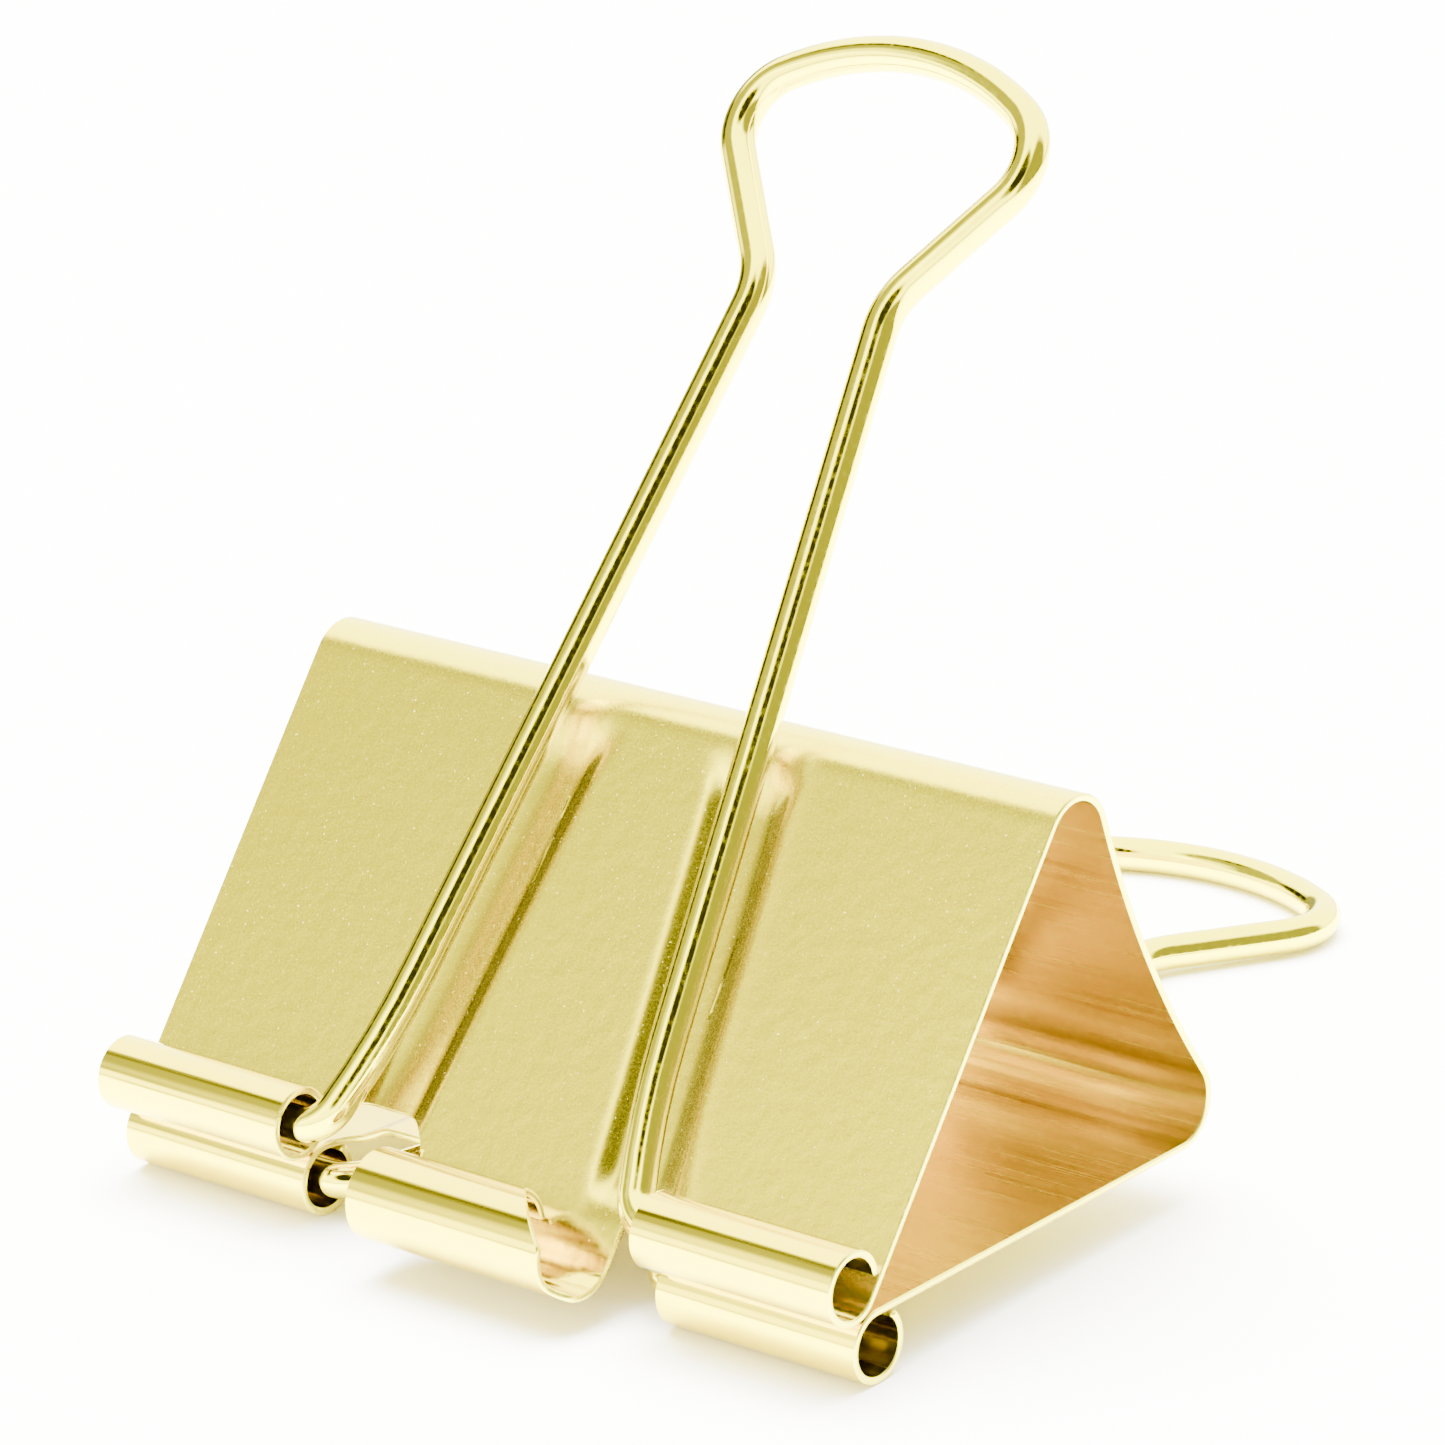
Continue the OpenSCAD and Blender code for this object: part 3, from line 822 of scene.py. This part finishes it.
def edge_gold(tint):
    """Bright plate on the sheared edges, with the faint lines of the cut across them."""
    n = Nodes("edge_gold")
    cut = n.noise((2600, 2600), 2, 0.6, 1.0)
    base = n.mix(cut, rgba(tint, 0.92), rgba(tint, 1.05))
    return n.finish(base, n.ramp(cut, 0.3, 0.7, 0.24, 0.38), n.bump(cut, 0.2, 0.00004))


def polished_gold(tint):
    """Polished plate over drawn wire: drawing lines along it, slight waviness and small pits."""
    n = Nodes("polished_gold")
    drawn = n.noise((2600, 60), 2, 0.6, 1.0)
    wave = n.noise((260, 160), 2, 0.5, 2.0)
    pit = n.noise((2400, 2400), 1, 0.5, 3.0)
    base = n.mix(n.ramp(wave, 0.3, 0.7, 0.0, 1.0), rgba(tint, 0.95), rgba(tint, 1.04))
    rough = n.ramp(pit, 0.4, 0.8, 0.07, 0.22)
    normal = n.bump(wave, 0.12, 0.0003)
    normal = n.bump(drawn, 0.05, 0.00005, normal)
    return n.finish(base, rough, normal)


# ---------------------------------------------------------------------------
# Operators
# ---------------------------------------------------------------------------


def shared_material(name, make, *tints):
    """The named material, made once."""
    return bpy.data.materials.get(name) or make(*(tuple(tint) for tint in tints))


def sheet_materials():
    """Outside, inside and rim of the sheet."""
    colours = getattr(bpy.context.scene, COLOURS)
    return [
        shared_material("satin_gold", satin_gold, colours.plate),
        shared_material("brushed_gold_painted_shade", brushed_gold_painted_shade, colours.inside, colours.plate),
        shared_material("edge_gold", edge_gold, colours.edge),
    ]


def fold_span(m, upper):
    """Where the sheet starts and ends its bend, on its middle surface: on the flat just before the
    fold, and on the spine just after it.
    """
    radius = m.fold_r + m.sheet_t / 2
    end = m.bow_angle + m.half
    flat = (0.0, m.fold_y - 0.6, m.sheet_t / 2)
    spine = (0.0, m.fold_y + radius * math.cos(end), -m.fold_r - radius * math.sin(end))
    side = 1 if upper else -1
    return [tuple(to_row(m, np.array(p), side)) for p in (flat, spine)]


class CLIP_OT_lower_body(bpy.types.Operator):
    """Build the lower half of the folded body: jaw, side rolls, fold and half of the spine"""

    bl_idname = "clip.lower_body"
    bl_label = "Lower half of the body"

    def execute(self, context):
        piece = build_sheet("body_lower_half", False, sheet_materials())
        flat, spine = fold_span(measures(), False)
        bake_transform(piece)
        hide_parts("lower_jaw", "spine")
        return {"FINISHED"}


class CLIP_OT_upper_body(bpy.types.Operator):
    """Build the upper half of the folded body: jaw, rolls, middle tab, fold and half of the spine"""

    bl_idname = "clip.upper_body"
    bl_label = "Upper half of the body"

    def execute(self, context):
        piece = build_sheet("body_upper_half", True, sheet_materials())
        flat, spine = fold_span(measures(), True)
        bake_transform(piece)
        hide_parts("upper_jaw", "spine")
        return {"FINISHED"}


class CLIP_OT_handles(bpy.types.Operator):
    """Build the two bent-wire handles"""

    bl_idname = "clip.handles"
    bl_label = "Wire handles"

    def execute(self, context):
        colours = getattr(context.scene, COLOURS)
        materials = [shared_material("polished_gold", polished_gold, colours.wire)]
        for node, upper in (("upper_handle", True), ("lower_handle", False)):
            piece = build_wire(node + "_wire", upper, materials)
            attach(piece, node)
            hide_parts(node)
        return {"FINISHED"}


class CLIP_OT_stage(bpy.types.Operator):
    """Set up the pale floor, the soft studio light and the camera"""

    bl_idname = "clip.stage"
    bl_label = "Studio"

    def execute(self, context):
        scene = context.scene
        floor_tint = getattr(scene, COLOURS).floor
        mesh = bpy.data.meshes.new("studio_floor")
        s = 3.0
        mesh.from_pydata([(-s, -s, 0), (s, -s, 0), (s, s, 0), (-s, s, 0)], [], [(0, 1, 2, 3)])
        floor = bpy.data.objects.new("studio_floor", mesh)
        scene.collection.objects.link(floor)
        floor.location.z = CAD_LOW.z - 0.00002
        n = Nodes("pale_floor")
        n.finish(rgba(tuple(floor_tint)), 0.7, metallic=0.0)
        mesh.materials.append(n.material)
        studio_world(scene)
        studio_lights(scene)
        studio_camera(scene)
        return {"FINISHED"}


def studio_world(scene):
    """White studio walls all round, with a darker opening where the camera stands, so that curved gold
    shows dark lines between bright ones.
    """
    world = bpy.data.worlds.new("studio")
    world.use_nodes = True
    tree = world.node_tree
    tree.nodes.clear()

    def add(kind, inputs=None, **values):
        node = tree.nodes.new(kind)
        for key, value in values.items():
            setattr(node, key, value)
        for key, value in (inputs or {}).items():
            if isinstance(value, bpy.types.NodeSocket):
                tree.links.new(value, node.inputs[key])
            else:
                node.inputs[key].default_value = value
        return node

    direction = add("ShaderNodeTexCoord").outputs["Generated"]

    def patch(towards, inner, outer, inside, outside):
        """A round patch of the studio wall: `inside` within the inner angle of `towards`, `outside`
        past the outer one.
        """
        d = Vector(towards).normalized()
        dot = add("ShaderNodeVectorMath", {0: direction, 1: tuple(d)}, operation="DOT_PRODUCT").outputs["Value"]
        node = add(
            "ShaderNodeMapRange",
            {
                "Value": dot,
                "From Min": math.cos(math.radians(outer)),
                "From Max": math.cos(math.radians(inner)),
                "To Min": outside,
                "To Max": inside,
            },
            interpolation_type="SMOOTHSTEP",
        )
        return node.outputs[0]

    def times(a, b):
        return add("ShaderNodeMath", {0: a, 1: b}, operation="MULTIPLY").outputs[0]

    height = add("ShaderNodeSeparateXYZ", {"Vector": direction}).outputs["Z"]
    horizon = add(
        "ShaderNodeMapRange",
        {"Value": height, "From Min": 0.01, "From Max": 0.10, "To Min": 0.30, "To Max": 1.0},
        interpolation_type="SMOOTHSTEP",
    ).outputs[0]
    card = patch(CARD_TOWARDS, 20, 26, CARD_LEVEL / WALL_LEVEL, 1.0)
    seam = patch(SEAM_TOWARDS, 2, 7, 0.10, 1.0)
    opening = patch(DARK_TOWARDS, 17, 25, DARK_LEVEL / WALL_LEVEL, 1.0)
    side = patch(SIDE_TOWARDS, 34, 46, SIDE_LEVEL / WALL_LEVEL, 1.0)
    far_side = patch(FAR_SIDE_TOWARDS, 22, 30, SIDE_LEVEL / WALL_LEVEL, 1.0)
    far_dark = patch(FAR_DARK_TOWARDS, 7, 13, DARK_LEVEL / WALL_LEVEL, 1.0)
    level = times(times(times(card, seam), times(opening, side)), times(times(far_side, far_dark), horizon))
    glow = patch(GLOW_TOWARDS, 4, 17, GLOW_LEVEL / WALL_LEVEL, 0.0)
    level = times(add("ShaderNodeMath", {0: level, 1: glow}, operation="ADD").outputs[0], WALL_LEVEL)
    reflected = add("ShaderNodeBackground", {"Color": (1.0, 0.99, 0.96, 1.0), "Strength": level})
    seen = add("ShaderNodeBackground", {"Color": (1.0, 1.0, 1.0, 1.0), "Strength": BACKDROP_LEVEL})
    path = add("ShaderNodeLightPath")
    shown = {0: path.outputs["Is Camera Ray"], 1: reflected.outputs[0], 2: seen.outputs[0]}
    mixed = add("ShaderNodeMixShader", shown)
    add("ShaderNodeOutputWorld", {"Surface": mixed.outputs[0]})
    scene.world = world


def studio_lights(scene):
    """One wide soft box overhead, which lights the floor and isn't mirrored in the metal."""
    light = bpy.data.lights.new("soft_box", "AREA")
    light.size = 0.9
    light.energy = FLOOR_POWER
    lamp = bpy.data.objects.new("soft_box", light)
    lamp.location = (-0.15, 0.10, 0.95)
    lamp.rotation_mode = "QUATERNION"
    lamp.rotation_quaternion = (Vector((0, 0, 0)) - lamp.location).to_track_quat("-Z", "Y")
    lamp.visible_glossy = False
    scene.collection.objects.link(lamp)


def studio_camera(scene):
    """The camera stands to the right of the front, a little above, and leans slightly."""
    camera = bpy.data.cameras.new("studio_camera")
    camera.lens = 184.0
    camera.sensor_width = 36.0
    camera.clip_start, camera.clip_end = 0.01, 20.0
    holder = bpy.data.objects.new("studio_camera", camera)
    right, up, back = (0.7691, 0.6374, -0.0471), (-0.1868, 0.2945, 0.9372), (0.6113, -0.712, 0.3456)
    turn = Matrix((right, up, back)).transposed()
    holder.matrix_world = Matrix.Translation((0.24195, -0.2918, 0.16114)) @ turn.to_4x4()
    scene.collection.objects.link(holder)
    scene.camera = holder


class CLIP_PT_panel(bpy.types.Panel):
    """Lists the clip's pieces and sizes"""

    bl_label = "Binder Clip"
    bl_idname = "CLIP_PT_panel"
    bl_space_type = "VIEW_3D"
    bl_region_type = "UI"
    bl_category = "Binder Clip"

    def draw(self, context):
        for operator in OPERATORS:
            self.layout.operator(operator.bl_idname)
        for group in (SHEET, WIRE, COLOURS):
            box = self.layout.box()
            settings = getattr(context.scene, group)
            for key in settings.bl_rna.properties.keys():
                if key not in ("rna_type", "name"):
                    box.prop(settings, key)


GROUPS = ((SHEET, ClipSheetSizes), (WIRE, ClipWireSizes), (COLOURS, ClipColours))
OPERATORS = (CLIP_OT_lower_body, CLIP_OT_upper_body, CLIP_OT_handles, CLIP_OT_stage)


def register():
    """Registers the classes and puts the settings on the scene."""
    for name, group in GROUPS:
        bpy.utils.register_class(group)
        setattr(bpy.types.Scene, name, bpy.props.PointerProperty(type=group))
    for item in (*OPERATORS, CLIP_PT_panel):
        bpy.utils.register_class(item)


def unregister():
    """Takes the classes and the settings away again."""
    for item in (CLIP_PT_panel, *reversed(OPERATORS)):
        bpy.utils.unregister_class(item)
    for name, group in reversed(GROUPS):
        delattr(bpy.types.Scene, name)
        bpy.utils.unregister_class(group)


def main():
    """Builds everything in order."""
    register()
    bpy.ops.clip.lower_body()
    bpy.ops.clip.upper_body()
    bpy.ops.clip.handles()
    bpy.ops.clip.stage()
    bpy.context.view_layer.update()


if __name__ == "__main__":
    main()
